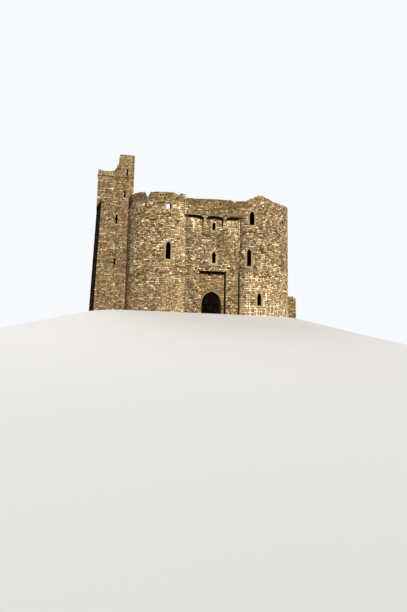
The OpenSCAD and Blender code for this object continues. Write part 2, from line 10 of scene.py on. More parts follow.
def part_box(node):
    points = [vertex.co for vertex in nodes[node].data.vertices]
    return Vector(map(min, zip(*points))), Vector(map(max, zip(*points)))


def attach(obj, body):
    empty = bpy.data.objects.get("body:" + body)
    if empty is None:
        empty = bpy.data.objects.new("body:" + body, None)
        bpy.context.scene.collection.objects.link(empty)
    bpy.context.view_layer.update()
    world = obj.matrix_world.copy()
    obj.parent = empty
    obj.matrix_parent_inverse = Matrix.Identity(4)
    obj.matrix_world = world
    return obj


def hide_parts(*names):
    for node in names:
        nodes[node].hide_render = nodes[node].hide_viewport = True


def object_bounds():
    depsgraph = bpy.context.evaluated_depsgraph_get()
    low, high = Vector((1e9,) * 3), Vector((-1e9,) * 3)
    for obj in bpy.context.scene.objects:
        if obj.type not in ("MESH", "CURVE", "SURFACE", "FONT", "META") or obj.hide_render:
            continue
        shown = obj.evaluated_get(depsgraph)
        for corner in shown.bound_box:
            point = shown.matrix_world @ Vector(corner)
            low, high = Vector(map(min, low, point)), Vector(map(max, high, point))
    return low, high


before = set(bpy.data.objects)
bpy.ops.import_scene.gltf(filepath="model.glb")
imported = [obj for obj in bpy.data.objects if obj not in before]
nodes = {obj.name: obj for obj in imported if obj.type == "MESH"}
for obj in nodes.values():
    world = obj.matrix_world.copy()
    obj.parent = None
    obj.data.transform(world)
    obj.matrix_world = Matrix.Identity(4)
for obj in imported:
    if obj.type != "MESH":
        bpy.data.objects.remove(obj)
solid_low, solid_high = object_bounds()

# Camera
# It stands on the low ground in front of the keep, a little to the left of the
# gate, and looks up at the walls through a long lens.
camera_place = (-12.744, -80.165, -13.305)
camera_heading = 8.257
camera_pitch = 10.10
camera_roll = 1.072
frame_height = 36.0
frame_rows = 612
lens_rows = 640


def link_object(name, data):
    """A new object at the origin, linked to the scene."""
    made = bpy.data.objects.new(name, data)
    bpy.context.scene.collection.objects.link(made)
    return made


camera = link_object("camera", bpy.data.cameras.new("camera"))
camera.data.sensor_fit = "VERTICAL"
camera.data.sensor_height = frame_height
camera.data.lens = lens_rows / frame_rows * frame_height
camera.data.clip_end = 500
look = Euler((math.radians(90 + camera_pitch), 0, math.radians(-camera_heading))).to_matrix()
roll = Euler((0, 0, math.radians(camera_roll))).to_matrix()
camera.matrix_world = (look @ roll).to_4x4()
camera.location = camera_place
bpy.context.scene.camera = camera
bpy.context.scene.view_settings.view_transform = "Standard"

# Floor and light
# A plain pale rise carries the keep. It is level under the walls and falls away
# outside them, so that the foot of every wall shows from the low camera.
rise_start = 0.25
rise_round = 3.0
rise_slope = 0.3
rise_drop = 15.2
rise_reach = 260.0
rise_cells = 220
rise_corner = 4.5
cell_spread = 4
floor_colours = ((0.24, 0.22, 0.19), (0.72, 0.71, 0.69))
skies = (((0.90, 0.95, 1.0, 1), 0.38), ((0.93, 0.95, 0.97, 1), 1.0))
lamps = {
    "key": {"energy": 3.3, "colour": (1.0, 0.95, 0.87), "soft": 4, "way": 11, "height": 20},
    "fill": {"energy": 1.5, "colour": (0.93, 0.96, 1.0), "soft": 40, "way": 200, "height": 40},
}


def smooth_floor(gap):
    """Depth of the floor below the walls' foot, at this distance outside them."""
    run = np.maximum(gap - rise_start, 0)
    bend = rise_slope * rise_round
    depth = np.where(run < bend, run ** 2 / (2 * rise_round), rise_slope * (run - bend / 2))
    return rise_drop * np.tanh(depth / rise_drop)


def mesh_of(name, points, faces):
    """A mesh from points and faces."""
    made = bpy.data.meshes.new(name)
    made.from_pydata([tuple(p) for p in points], [], faces)
    return made


def shader(name):
    """A new material, with its node tree and its Principled shader."""
    made = bpy.data.materials.new(name)
    made.use_nodes = True
    return made, made.node_tree, made.node_tree.nodes["Principled BSDF"]


def fill(tree, node, inputs):
    """Gives a node's inputs their values, or links from other nodes' sockets."""
    for key, value in inputs.items():
        if isinstance(value, bpy.types.NodeSocket):
            tree.links.new(value, node.inputs[key])
        else:
            node.inputs[key].default_value = value


def add_node(tree, kind, inputs=None, **settings):
    """A new node with its settings and inputs."""
    made = tree.nodes.new(kind)
    for setting, value in settings.items():
        setattr(made, setting, value)
    fill(tree, made, inputs or {})
    return made


def number(tree, how, *values, clamp=False):
    """A maths node on values or sockets."""
    inputs = dict(enumerate(values))
    return add_node(tree, "ShaderNodeMath", inputs, operation=how, use_clamp=clamp).outputs[0]


def mix_colour(tree, share, first, second, how="MIX"):
    """A colour mix node on values or sockets."""
    first, second = [(*colour, 1) if isinstance(colour, tuple) else colour for colour in (first, second)]
    inputs = {0: share, 6: first, 7: second}
    return add_node(tree, "ShaderNodeMix", inputs, data_type="RGBA", blend_type=how).outputs[2]


def background_ray(tree):
    """1 for the rays that show a background: those of the camera, of gloss and of glass."""
    rays = add_node(tree, "ShaderNodeLightPath").outputs
    value = rays["Is Camera Ray"]
    for name in ("Is Glossy Ray", "Is Transmission Ray"):
        value = number(tree, "MAXIMUM", value, rays[name])
    return value


middle = (solid_low + solid_high) / 2
reach = (solid_high - solid_low) / 2
spread = np.sinh(np.linspace(-cell_spread, cell_spread, rise_cells)) / math.sinh(cell_spread) * rise_reach
floor_x, floor_y = np.meshgrid(spread + middle.x, spread + middle.y)
out_x = np.maximum(np.abs(floor_x - middle.x) - reach.x + rise_corner, 0)
out_y = np.maximum(np.abs(floor_y - middle.y) - reach.y + rise_corner, 0)
floor_z = -smooth_floor(np.hypot(out_x, out_y) - rise_corner)
points = zip(floor_x.ravel(), floor_y.ravel(), floor_z.ravel())
corners = [j * rise_cells + i for j in range(rise_cells - 1) for i in range(rise_cells - 1)]
faces = [(c, c + 1, c + rise_cells + 1, c + rise_cells) for c in corners]
floor = link_object("floor", mesh_of("floor", points, faces))
floor.data.polygons.foreach_set("use_smooth", [True] * len(floor.data.polygons))
floor_finish, tree, target = shader("floor_finish")
fill(tree, target, {"Base Color": mix_colour(tree, background_ray(tree), *floor_colours), "Roughness": 0.95})
floor.data.materials.append(floor_finish)

world = bpy.data.worlds.new("studio")
bpy.context.scene.world = world
world.use_nodes = True
sky = world.node_tree
sky.nodes.clear()
lit, seen = [add_node(sky, "ShaderNodeBackground", {"Color": colour, "Strength": strength}).outputs[0]
             for colour, strength in skies]
sky_mix = add_node(sky, "ShaderNodeMixShader", {"Fac": background_ray(sky), 1: lit, 2: seen})
add_node(sky, "ShaderNodeOutputWorld", {"Surface": sky_mix.outputs[0]})
for name, lamp in lamps.items():
    light = link_object(name, bpy.data.lights.new(name, "SUN"))
    light.data.energy = lamp["energy"]
    light.data.angle = math.radians(lamp["soft"])
    light.data.color = lamp["colour"]
    light.rotation_euler = (math.radians(90 - lamp["height"]), 0, math.radians(lamp["way"]))

# Round tower fronts
# Each front is a thick wall of coursed rubble. The facing stones are laid one by
# one in mortar, which stands a little way behind their faces.
tower_r = 5.2
tower_x = 6.0
tower_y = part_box("right_inner_wall")[0].y + tower_r
side_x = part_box("right_outer_wall")[1].x
keep_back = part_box("rear_gate_wall")[1].y
wall_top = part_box("right_outer_wall")[1].z
bay_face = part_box("bay_middle_wall")[0].y
bay_half = tower_x - math.sqrt(tower_r ** 2 - (tower_y - bay_face) ** 2)
bay_corner = 180 + math.degrees(math.asin((tower_y - bay_face) / tower_r))
turret_corner = 188.0
mortar_depth = 0.035
bed_depth = 0.05
joint = 0.016
joint_spread = (0.5, 1.25)
bed_share, end_share = 1.35, 0.8
# Joint share of the stones painted black as painted shadow.
damp_joint = 0.3
corner_tall = (0.12, 0.42)
corner_long = (0.15, 0.6)
stone_long = (0.7, 2.1)
split_tall = 0.22
split_chance = 0.25
split_share = (0.4, 0.6)
even_tint = 0.45
worn_edge = 0.05
uneven_face = 0.008
wobble_scale = 3.1
body_share = 0.68
stone_rise = (0.030, 0.047)
hole_rise = (0.020, 0.024)
hole_part = 0.3
tone_spread = 0.26
courses = (0.14, 0.28)
least_course = 0.06
least_run = 0.08
ray_step = 0.09
ray_margin = 0.004
ray_out = 0.06
ray_in = 0.2
face_slack = 0.02
seam = 0.002
touch = 0.01
weld_gap = 0.0002
stone_colours = [
    (0.0, (0.09, 0.056, 0.025)), (0.12, (0.19, 0.124, 0.058)), (0.24, (0.305, 0.203, 0.096)),
    (0.34, (0.345, 0.262, 0.158)), (0.44, (0.44, 0.29, 0.128)), (0.54, (0.51, 0.345, 0.2)),
    (0.64, (0.475, 0.284, 0.1)), (0.74, (0.48, 0.385, 0.232)), (0.85, (0.68, 0.5, 0.275)),
    (1.0, (1.0, 0.805, 0.53))]
lichen_colour = (0.40, 0.235, 0.050)
lime_colour = (1.00, 0.82, 0.51)
rose_colour = (0.42, 0.225, 0.130)


def solid_tree(*names):
    """Search tree over the faces of CAD nodes, for rays."""
    verts, faces = [], []
    for name in names:
        mesh, first = nodes[name].data, len(verts)
        verts += [v.co.copy() for v in mesh.vertices]
        faces += [tuple(first + i for i in p.vertices) for p in mesh.polygons]
    return BVHTree.FromPolygons(verts, faces)


def there_on(tree, place):
    """A test that the CAD wall has its face right behind a place (u, v)."""
    def there(u, v):
        start = Vector(place(u, v, ray_out))
        way = (Vector(place(u, v, -ray_in)) - start).normalized()
        hit, _, _, far = tree.ray_cast(start, way, ray_out + face_slack)
        return hit is not None and far > ray_out - face_slack
    return there


def border(test, good, bad):
    """Where between a good and a bad value the test starts to fail."""
    for _ in range(5):
        half = (good + bad) / 2
        good, bad = (half, bad) if test(half) else (good, half)
    return good


def stretches(width, low, tall, there):
    """Runs (from, to, low, high) of one course that the wall's face carries."""
    levels = [low + tall * share for share in (0.2, 0.5, 0.8)]
    state = lambda u: tuple(there(u, v) for v in levels)
    steps = np.linspace(ray_margin, width - ray_margin, max(int(width / ray_step), 3))
    found, start, now = [], steps[0], state(steps[0])
    for last, u in zip(steps, [*steps[1:], None]):
        new = state(u) if u is not None else None
        if new == now:
            continue
        end = last if new is None else border(lambda x: state(x) == now, last, u)
        if any(now) and end - start > least_run:
            found.append((start, end, now))
        start, now = end, new
    runs = []
    for start, end, (foot, waist, head) in found:
        some = [start + (end - start) * share for share in (0.08, 0.5, 0.92)]
        from_v, to_v = low, low + tall
        if not head:
            base = low + tall * (0.2 if not waist else 0.5)
            to_v = min(border(lambda v: there(u, v), base, low + tall) for u in some)
        if not foot:
            base = low + tall * (0.8 if not waist else 0.5)
            from_v = max(border(lambda v: there(u, v), base, low) for u in some)
        if to_v - from_v > least_course and (waist or foot != head):
            runs.append((start, end, from_v, to_v))
    return runs


def stone_outline(a, b, low, high, rng, close):
    """Six-sided outline of one rubble stone: a box with two opposite corners knocked off."""
    gap = joint * close * rng.uniform(*joint_spread)
    end, bed = end_share * gap, bed_share * gap
    a, b, low, high = a + end, b - end, low + bed, high - bed
    tall, long = high - low, b - a
    slack = 0.10 * min(tall, long)
    sway = lambda: rng.uniform(0, slack)
    cut_v, cut_u = tall * rng.uniform(*corner_tall), min(long * 0.3, tall * rng.uniform(*corner_long))
    if rng.random() < 0.5:
        return [(a + cut_u, low + sway()), (b - sway(), low + sway()), (b - sway(), high - cut_v),
                (b - cut_u, high - sway()), (a + sway(), high - sway()), (a + sway(), low + cut_v)]
    return [(a + sway(), low + sway()), (b - cut_u, low + sway()), (b - sway(), low + cut_v),
            (b - sway(), high - sway()), (a + cut_u, high - sway()), (a + sway(), high - cut_v)]


def lay_courses(width, low, high, rng, there, sizes=courses, long=1.0, close=1.0):
    """Outlines of the stones of a wall face, course by course, in (along, up)."""
    laid, v = [], low
    while v < high - least_course:
        tall = rng.uniform(*sizes)
        if high - v - tall < sizes[0]:
            tall = high - v if high - v < sizes[1] * 1.25 else (high - v) / 2
        for start, end, foot, head in stretches(width, v, tall, there):
            u = start
            while u < end - 1e-6:
                run = tall * rng.uniform(*stone_long) * long
                if end - u - run < 0.6 * tall:
                    run = end - u if end - u < 2.6 * tall * long else (end - u) / 2
                levels = [foot, head]
                if head - foot > split_tall and rng.random() < split_chance:
                    levels.insert(1, foot + (head - foot) * rng.uniform(*split_share))
                for bottom, top in zip(levels, levels[1:]):
                    laid.append(stone_outline(u, u + run, bottom, top, rng, close))
                u += run
        v += tall
    return laid


class Stonework:
    """Gathers stone outlines in space, with what each stone is like, for one piece."""

    def __init__(self):
        self.points, self.faces, self.looks = [], [], []

    def bed(self, points, rise, **look):
        """Keeps one stone's outline and its look."""
        first = len(self.points)
        self.points += points
        self.faces.append(tuple(range(first, first + len(points))))
        self.looks.append({"rise": rise, "tone": 1.0, "lichen": 0.0, "lime": 0.0, "rose": 0.0, **look})

    def add(self, outlines, place, weather_and_shade, rng, rise=stone_rise):
        """Beds outlines on a face. A given function says what a stone is like at a point: its weather and
        any painted shade or light.
        """
        for outline in outlines:
            middle_u, middle_v = [sum(values) / len(outline) for values in zip(*outline)]
            tint, high = rng.random(), rng.uniform(*rise)
            look = {"tone": 1.0, **weather_and_shade(Vector(place(middle_u, middle_v, 0)))}
            even = look.pop("even", 0.0)
            look["tone"] *= 1 + rng.uniform(-tone_spread, tone_spread) * (1 - even)
            self.bed([place(u, v, -bed_depth) for u, v in outline], high,
                     tint=tint + (even_tint - tint) * even, **look)

    def finish(self, name, slot="rubble_stone"):
        """Makes the piece with its raised stones and parents it to the root body."""
        mesh = mesh_of(name, self.points, self.faces)
        for quality in self.looks[0]:
            layer = mesh.attributes.new(quality, "FLOAT", "FACE")
            layer.data.foreach_set("value", [look[quality] for look in self.looks])
        piece = link_object(name, mesh)
        raise_stones(piece)
        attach(piece, "root")


def damp_weather(at):
    """Stones painted near black, as painted shadow where no light reaches."""
    return {"tone": 0.035}


def lay_wall(stones, place, width, levels, there, weather_and_shade, rng, gaps=(), sizes=courses, long=1.0, damp=None):
    """Lays one face of a wall. A gap (u, v, width, height) is a hole, filled with low stones painted black
    as the shadow inside it. The last argument is a test (u, v), true where the wall's stones are painted
    black as painted shadow, with closer joints."""
    def solid(u, v):
        return there(u, v) and not any(abs(u - at_u) < wide / 2 and abs(v - at_v) < tall / 2
                                       for at_u, at_v, wide, tall in gaps)
    unshaded = solid
    if damp:
        unshaded = lambda u, v: solid(u, v) and not damp(u, v)
        shaded = lambda u, v: solid(u, v) and damp(u, v)
        stones.add(lay_courses(width, *levels, rng, shaded, sizes, long, damp_joint), place, damp_weather, rng)
    stones.add(lay_courses(width, *levels, rng, unshaded, sizes, long), place, weather_and_shade, rng)
    # Each hole is filled with low stones painted black, as the shadow inside it.
    for at_u, at_v, wide, tall in gaps:
        parts = max(round(tall / hole_part), 1)
        for i in range(parts):
            a, b = at_u - wide / 2, at_u + wide / 2
            low, high = at_v + tall * (i / parts - 0.5), at_v + tall * ((i + 1) / parts - 0.5)
            if there(at_u, (low + high) / 2):
                stones.add([[(a, low), (b, low), (b, high), (a, high)]], place, damp_weather, rng, hole_rise)


# Geometry nodes that raise each flat outline into a worn, closed stone.
relief = bpy.data.node_groups.new("raise_stones", "GeometryNodeTree")
sockets = {}
for name, kind, value in (("Outlines", "Geometry", None), ("Worn edge", "Float", worn_edge),
                          ("Uneven face", "Float", uneven_face), ("Finish", "Material", None)):
    socket = relief.interface.new_socket(name, in_out="INPUT", socket_type=f"NodeSocket{kind}")
    sockets[name] = socket.identifier
    if value:
        socket.default_value = value
relief.interface.new_socket("Stones", in_out="OUTPUT", socket_type="NodeSocketGeometry")


def relief_node(kind, inputs=None, **settings):
    """Outputs of a new node of the relief."""
    return add_node(relief, f"GeometryNode{kind}", inputs, **settings).outputs


given = add_node(relief, "NodeGroupInput").outputs
rise = relief_node("InputNamedAttribute", {"Name": "rise"}, data_type="FLOAT")["Attribute"]
body_rise, cap_rise = [number(relief, "MULTIPLY", rise, share) for share in (body_share, 1 - body_share)]
stone_side = number(relief, "SQRT", relief_node("InputMeshFaceArea")[0])
worn_share = number(relief, "DIVIDE", given["Worn edge"], stone_side)
inputs = {"Mesh": given["Outlines"], "Individual": True, "Offset Scale": body_rise}
body = relief_node("ExtrudeMesh", inputs, mode="FACES")
inputs = {"Mesh": body["Mesh"], "Selection": body["Top"], "Individual": True, "Offset Scale": cap_rise}
cap = relief_node("ExtrudeMesh", inputs, mode="FACES")
kept_share = number(relief, "SUBTRACT", 1.0, worn_share, clamp=True)
inputs = {"Geometry": cap["Mesh"], "Selection": cap["Top"], "Scale": kept_share}
shrunk = relief_node("ScaleElements", inputs, domain="FACE")
inputs = {"Vector": relief_node("InputPosition")[0], "Scale": wobble_scale}
wobble = add_node(relief, "ShaderNodeTexNoise", inputs).outputs["Color"]
centred = add_node(relief, "ShaderNodeVectorMath", {0: wobble, 1: (0.5, 0.5, 0.5)}, operation="SUBTRACT")
inputs = {0: centred.outputs[0], "Scale": given["Uneven face"]}
sized = add_node(relief, "ShaderNodeVectorMath", inputs, operation="SCALE")
inputs = {"Geometry": shrunk[0], "Selection": cap["Top"], "Offset": sized.outputs[0]}
moved = relief_node("SetPosition", inputs)
backs = relief_node("FlipFaces", {"Mesh": given["Outlines"]})
joined = add_node(relief, "GeometryNodeJoinGeometry", {0: backs[0]})
fill(relief, joined, {0: moved[0]})
welded = relief_node("MergeByDistance", {"Geometry": joined.outputs[0], "Distance": weld_gap})
real = relief_node("RealizeInstances", {0: welded[0]})
painted = relief_node("SetMaterial", {"Geometry": real[0], "Material": given["Finish"]})
add_node(relief, "NodeGroupOutput", {0: painted[0]})


def raise_stones(piece):
    """Runs the relief nodes on a piece and keeps the result as its plain mesh."""
    change = piece.modifiers.new("stones", "NODES")
    change.node_group = relief
    change[sockets["Worn edge"]] = worn_edge
    change[sockets["Uneven face"]] = uneven_face
    change[sockets["Finish"]] = rubble_finish
    shown = piece.evaluated_get(bpy.context.evaluated_depsgraph_get())
    made = bpy.data.meshes.new_from_object(shown)
    made.name = piece.name
    made.materials.clear()
    made.materials.append(rubble_finish)
    piece.modifiers.clear()
    piece.data = made


def times(tree, first, second, clamp=False):
    """The product of two values or sockets."""
    return number(tree, "MULTIPLY", first, second, clamp=clamp)


def metres(tree, stretch=None):
    """The object's own coordinates, scaled where a pattern is longer one way."""
    coords = add_node(tree, "ShaderNodeTexCoord").outputs["Object"]
    if stretch:
        return add_node(tree, "ShaderNodeMapping", {"Vector": coords, "Scale": stretch}).outputs[0]
    return coords


def noise(tree, scale, detail=5, rough=0.7, stretch=None):
    """Noise in metres."""
    inputs = {"Vector": metres(tree, stretch), "Scale": scale, "Detail": detail, "Roughness": rough}
    return add_node(tree, "ShaderNodeTexNoise", inputs).outputs["Fac"]


def share_of(tree, value, low, high):
    """Maps a value from low..high to 0..1."""
    inputs = {"Value": value, "From Min": low, "From Max": high}
    return add_node(tree, "ShaderNodeMapRange", inputs).outputs[0]


def patches(tree, low, high, scale, detail=4, rough=0.6, stretch=None):
    """Noise cut to a range: 0 where it is low and 1 where it is high."""
    return share_of(tree, noise(tree, scale, detail, rough, stretch), low, high)


def grained(tree, base, scale, share, colour):
    """A colour with fine grain of another one in it."""
    return mix_colour(tree, times(tree, patches(tree, 0.3, 0.7, scale, rough=0.7), share), base, colour)


def ramp(tree, value, stops):
    """Colour ramp over (place, colour) stops."""
    node = add_node(tree, "ShaderNodeValToRGB", {"Fac": value})
    while len(node.color_ramp.elements) < len(stops):
        node.color_ramp.elements.new(0.5)
    for element, (at, colour) in zip(node.color_ramp.elements, stops):
        element.position = at
        element.color = (*colour, 1)
    return node.outputs["Color"]


def dress(tree, target, base, rough, gloss, height, strength, depth):
    """Gives the shader its colour, roughness, specular level and bump."""
    bump = add_node(tree, "ShaderNodeBump", {"Height": height, "Strength": strength, "Distance": depth})
    fill(tree, target, {"Base Color": base, "Roughness": rough, "Specular IOR Level": gloss,
                        "Normal": bump.outputs["Normal"]})


# Rubble, with one tint a stone and the tone, lime, lichen and rose that its weather wrote. The tone also
# carries painted shade and painted light, and the specular level follows the tone.
rubble_finish, tree, target = shader("rubble_finish")
stone = {name: add_node(tree, "ShaderNodeAttribute", attribute_name=name).outputs["Fac"]
         for name in ("tint", "tone", "lichen", "lime", "rose")}
base = mix_colour(tree, stone["rose"], ramp(tree, stone["tint"], stone_colours), rose_colour)
runs = patches(tree, 0.475, 0.545, 1.0, stretch=(4.8, 4.8, 0.45))
base = mix_colour(tree, times(tree, stone["lime"], runs, clamp=True), base, lime_colour)
spots = patches(tree, 0.42, 0.62, 3.4, 5, 0.65)
base = mix_colour(tree, times(tree, stone["lichen"], spots, clamp=True), base, lichen_colour)
shade = stone["tone"]
for least, more, pattern in ((0.62, 0.70, patches(tree, 0.3, 0.7, 9.0, rough=0.7)),
                             (0.84, 0.30, patches(tree, 0.3, 0.7, 0.55)),
                             (0.82, 0.30, patches(tree, 0.36, 0.62, 1.0, stretch=(2.2, 2.2, 0.22))),
                             (0.80, 0.40, patches(tree, 0.34, 0.66, 1.0, 2, 0.5, (0.4, 0.4, 4.4)))):
    shade = times(tree, shade, number(tree, "ADD", least, times(tree, pattern, more)))
grey = add_node(tree, "ShaderNodeCombineColor", dict.fromkeys(range(3), shade)).outputs[0]
base = mix_colour(tree, 1.0, base, grey, "MULTIPLY")
gloss = times(tree, stone["tone"], 0.22, clamp=True)
dress(tree, target, base, 0.92, gloss, noise(tree, 14.0), 0.55, 0.012)

# Old lime mortar between the stones, mostly dark with damp and dirt.
mortar_finish, tree, target = shader("mortar_finish")
base = mix_colour(tree, patches(tree, 0.40, 0.66, 0.8), (0.028, 0.019, 0.011), (0.125, 0.089, 0.050))
base = grained(tree, base, 18.0, 0.5, (0.050, 0.035, 0.020))
dress(tree, target, base, 0.95, 0.2, noise(tree, 22.0), 0.6, 0.015)

# Rubble of the inner faces, where the stones are bedded flush in mortar.
inner_finish, tree, target = shader("inner_rubble_finish")
cells = {"Vector": metres(tree, (2.4, 2.4, 4.4)), "Scale": 1.0, "Randomness": 0.85}
tints = add_node(tree, "ShaderNodeTexVoronoi", cells).outputs["Color"]
edges = add_node(tree, "ShaderNodeTexVoronoi", cells, feature="DISTANCE_TO_EDGE").outputs["Distance"]
base = ramp(tree, add_node(tree, "ShaderNodeSeparateColor", {0: tints}).outputs[0], stone_colours)
base = grained(tree, base, 9.0, 0.45, (0.12, 0.085, 0.050))
body = share_of(tree, edges, 0.02, 0.09)
base = mix_colour(tree, body, (0.060, 0.043, 0.026), base)
height = number(tree, "ADD", body, times(tree, noise(tree, 14.0), 0.6))
dress(tree, target, base, 0.93, 0.25, height, 0.7, 0.03)

# Undersides and sheltered returns, painted near black as painted shade.
damp_finish, tree, target = shader("damp_finish")
base = mix_colour(tree, patches(tree, 0.35, 0.70, 2.2), (0.008, 0.006, 0.004), (0.034, 0.025, 0.015))
dress(tree, target, base, 0.9, 0.03, noise(tree, 8.0), 0.7, 0.03)


def under(centre, normal):
    """The painted-shade finish for a face that looks down, or None."""
    return damp_finish if normal.z < -0.5 else None


def mortar_core(name, replaced, sink, special=under):
    """Copies CAD walls as one piece, with the outer faces sunk to the mortar's depth."""
    joined = bmesh.new()
    for node in replaced:
        joined.from_mesh(nodes[node].data)
    bmesh.ops.remove_doubles(joined, verts=joined.verts, dist=weld_gap)
    outer = set()
    for vert in joined.verts:
        sunk = Vector(sink(vert.co.copy()))
        if (sunk - vert.co).length > 0.001:
            outer.add(vert.index)
        vert.co = sunk
    joined.normal_update()
    finishes = [mortar_finish, inner_finish]
    for face in joined.faces:
        face.smooth = False
        if all(v.index in outer for v in face.verts):
            continue
        finish = special(face.calc_center_median(), face.normal) or inner_finish
        if finish not in finishes:
            finishes.append(finish)
        face.material_index = finishes.index(finish)
    mesh = bpy.data.meshes.new(name)
    joined.to_mesh(mesh)
    joined.free()
    for finish in finishes:
        mesh.materials.append(finish)
    piece = link_object(name, mesh)
    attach(piece, "root")
    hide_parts(*replaced)


def on_drum(side, start):
    """Place on a round front: side -1 is the left tower; u runs round from start degrees."""
    def place(u, v, out):
        angle = math.radians(start) + u / tower_r
        reach = tower_r + out
        return side * tower_x + reach * math.cos(angle), tower_y + reach * math.sin(angle), v
    return place


def box_sink(left=-math.inf, right=math.inf, front=-math.inf, rear=math.inf):
    """Sinks points that lie on the outer faces of a box, or outside them."""
    def sink(at):
        x = at.x + mortar_depth * ((at.x < left + seam) - (at.x > right - seam))
        y = at.y + mortar_depth * ((at.y < front + seam) - (at.y > rear - seam))
        return x, y, at.z
    return sink


side_sink = box_sink(-side_x, side_x, rear=keep_back)


def drum_sink(side):
    """Sinks the drum's outer face, the strip beside the bay and the flat side wall."""
    def sink(at):
        gone = Vector((at.x - side * tower_x, at.y - tower_y, 0))
        if abs(at.y - bay_face) < seam and abs(at.x) < bay_half - touch:
            return at.x, at.y + mortar_depth, at.z
        if at.y < tower_y + touch and abs(gone.length - tower_r) < touch:
            gone = gone.normalized() * (tower_r - mortar_depth)
            return side * tower_x + gone.x, tower_y + gone.y, at.z
        return side_sink(at)
    return sink


def near(value, place, width):
    """1 at a place, falling to 0 a width away."""
    return max(0.0, 1 - abs(value - place) / width)


def above(value, start, full):
    """0 at start, 1 at full and beyond, for a patch that grows upward or downward."""
    return min(max((value - start) / (full - start), 0.0), 1.0)


def within(value, low, high):
    """1 between two values, otherwise 0."""
    return 1.0 if low <= value <= high else 0.0


def darkened_in_lines(lines, z, across):
    """What dark lines leave of the tone. Some are painted shadow, as under the bay's sill and in the left
    front's corner by the turret. A line is (share lost, low z, high z, from, to).
    """
    lines = [line for line in lines if line[1] <= z <= line[2] and line[3] <= across <= line[4]]
    return math.prod(1 - lost for lost, *_ in lines)


def round_angle(at, side):
    """Degrees round a tower's centre, 270 where its front stands out furthest."""
    return math.degrees(math.atan2(at.y - tower_y, at.x - side * tower_x)) % 360


# Dark lines on the round fronts. The last left line is painted shadow in the corner by the turret.
right_lines = ((0.40, 11.9, 12.15, 262, 300), (0.35, 10.85, 11.1, 262, 294), (0.30, 6.1, 6.3, 246, 294))
left_lines = ((0.45, 11.98, 12.2, 246, 281), (0.35, 6.0, 6.2, 256, 297), (0.35, 7.35, 7.9, 248, 262),
              (0.70, 14.8, 15.5, 186, 205))


def right_weather_and_shade(at):
    """The right front: painted shade where it turns towards the bay, darker in lines, pale with lime at its
    foot.
    """
    z, angle = at.z, round_angle(at, 1)
    # Painted shade where the front turns towards the bay.
    tone = 1.20 - 0.74 * above(angle, 252, 243) + 0.26 * above(z, 7.6, 5.4)
    tone *= 1 - 0.45 * near(angle, 319.5, 2.4) * above(z, 11.0, 12.0)
    tone *= (1 + 0.12 * near(angle, 277, 14) * near(z, 8.2, 1.6)) * darkened_in_lines(right_lines, z, angle)
    lime = 0.8 * above(z, 3.0, 1.0) + 0.5 * near(angle, 258, 12) * above(z, 5.6, 4.6)
    return {"tone": tone, "lime": lime, "lichen": 0.8 * above(z, 14.8, 15.8) + 0.3 * near(angle, 338, 20)}


def left_weather_and_shade(at):
    """The left front: painted shade at the turret and painted light to the right, with a blocked opening
    high up.
    """
    z, angle = at.z, round_angle(at, -1)
    # Painted shade where the front turns towards the turret, and painted light on its right side.
    tone = 1.22 - 0.58 * above(angle, 207, 199) + 0.16 * above(angle, 268, 284)
    tone *= (1 - 0.30 * near(z, 5.15, 0.7)) * (1 - 0.32 * above(z, 14.4, 14.9))
    tone *= (1 - 0.45 * near(angle, 246.9, 1.5) * within(z, 12.1, 13.65)) * darkened_in_lines(left_lines, z, angle)
    sills = within(z, 12.22, 12.55) * within(angle, 267, 277)
    sills += 0.8 * within(z, 6.45, 6.95) * near(angle, 270.5, 9)
    return {"tone": tone, "rose": 0.16 * above(z, 5.2, 3.8), "lime": max(0.2 * near(angle, 291, 9), sills),
            "lichen": 0.8 * above(z, 14.7, 15.8) + 0.3 * within(z, 12.25, 13.6) * within(angle, 248, 264)}


# Each drum has its side, its start and sweep in degrees, its weather with painted shade and light, and its
# putlog holes as (degrees, height, width, tall).
drums = {
    "left": (-1, turret_corner, 360 - 8 - bay_corner, left_weather_and_shade, (
        (272.0, 12.8, 0.18, 0.22), (253.9, 15.56, 0.14, 0.17), (257.5, 15.55, 0.14, 0.17),
        (261.1, 15.55, 0.14, 0.17), (266.2, 15.57, 0.14, 0.17))),
    "right": (1, bay_corner, 360 - bay_corner, right_weather_and_shade, (
        (314.2, 13.3, 0.45, 0.34), (287.6, 5.3, 0.18, 0.18), (306.0, 5.1, 0.18, 0.18),
        (281.0, 4.7, 0.15, 0.16), (315.0, 4.6, 0.16, 0.16), (290.0, 7.4, 0.15, 0.16),
        (303.0, 8.9, 0.15, 0.16))),
}
for name, (side, start, sweep, weather_and_shade, holes) in drums.items():
    walls = [f"{name}_{part}" for part in ("inner_wall", "front_wall", "outer_wall", "parapet")]
    place = on_drum(side, start)
    levels = (0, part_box(f"{name}_parapet")[1].z)
    gaps = [(math.radians(angle - start) * tower_r, *hole) for angle, *hole in holes]
    stones = Stonework()
    lay_wall(stones, place, math.radians(sweep) * tower_r, levels, there_on(solid_tree(*walls), place),
             weather_and_shade, random.Random(11 + side), gaps)
    stones.finish(f"{name}_front_stones")
    mortar_core(f"{name}_front_core", walls, drum_sink(side))

# Gate bay
# Rubble wall between the towers, with the bridge recess at its foot and a ledge
# where the upper wall steps back. Lime runs down it from behind the arches.
# Shadow is painted on the bay: black stones under the arches and beside their piers, under the recess head
# and by its right side, and in the corner by the right tower.
ledge_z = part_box("bay_middle_wall")[1].z
upper_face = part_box("bay_upper_frame")[0].y
upper_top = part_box("bay_roof")[1].z
panel_low, panel_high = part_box("gate_panel")
recess_face, recess_half, recess_top = panel_low.y, panel_high.x, panel_high.z
sill_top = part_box("gate_sill")[1].z
bay_long = 0.85
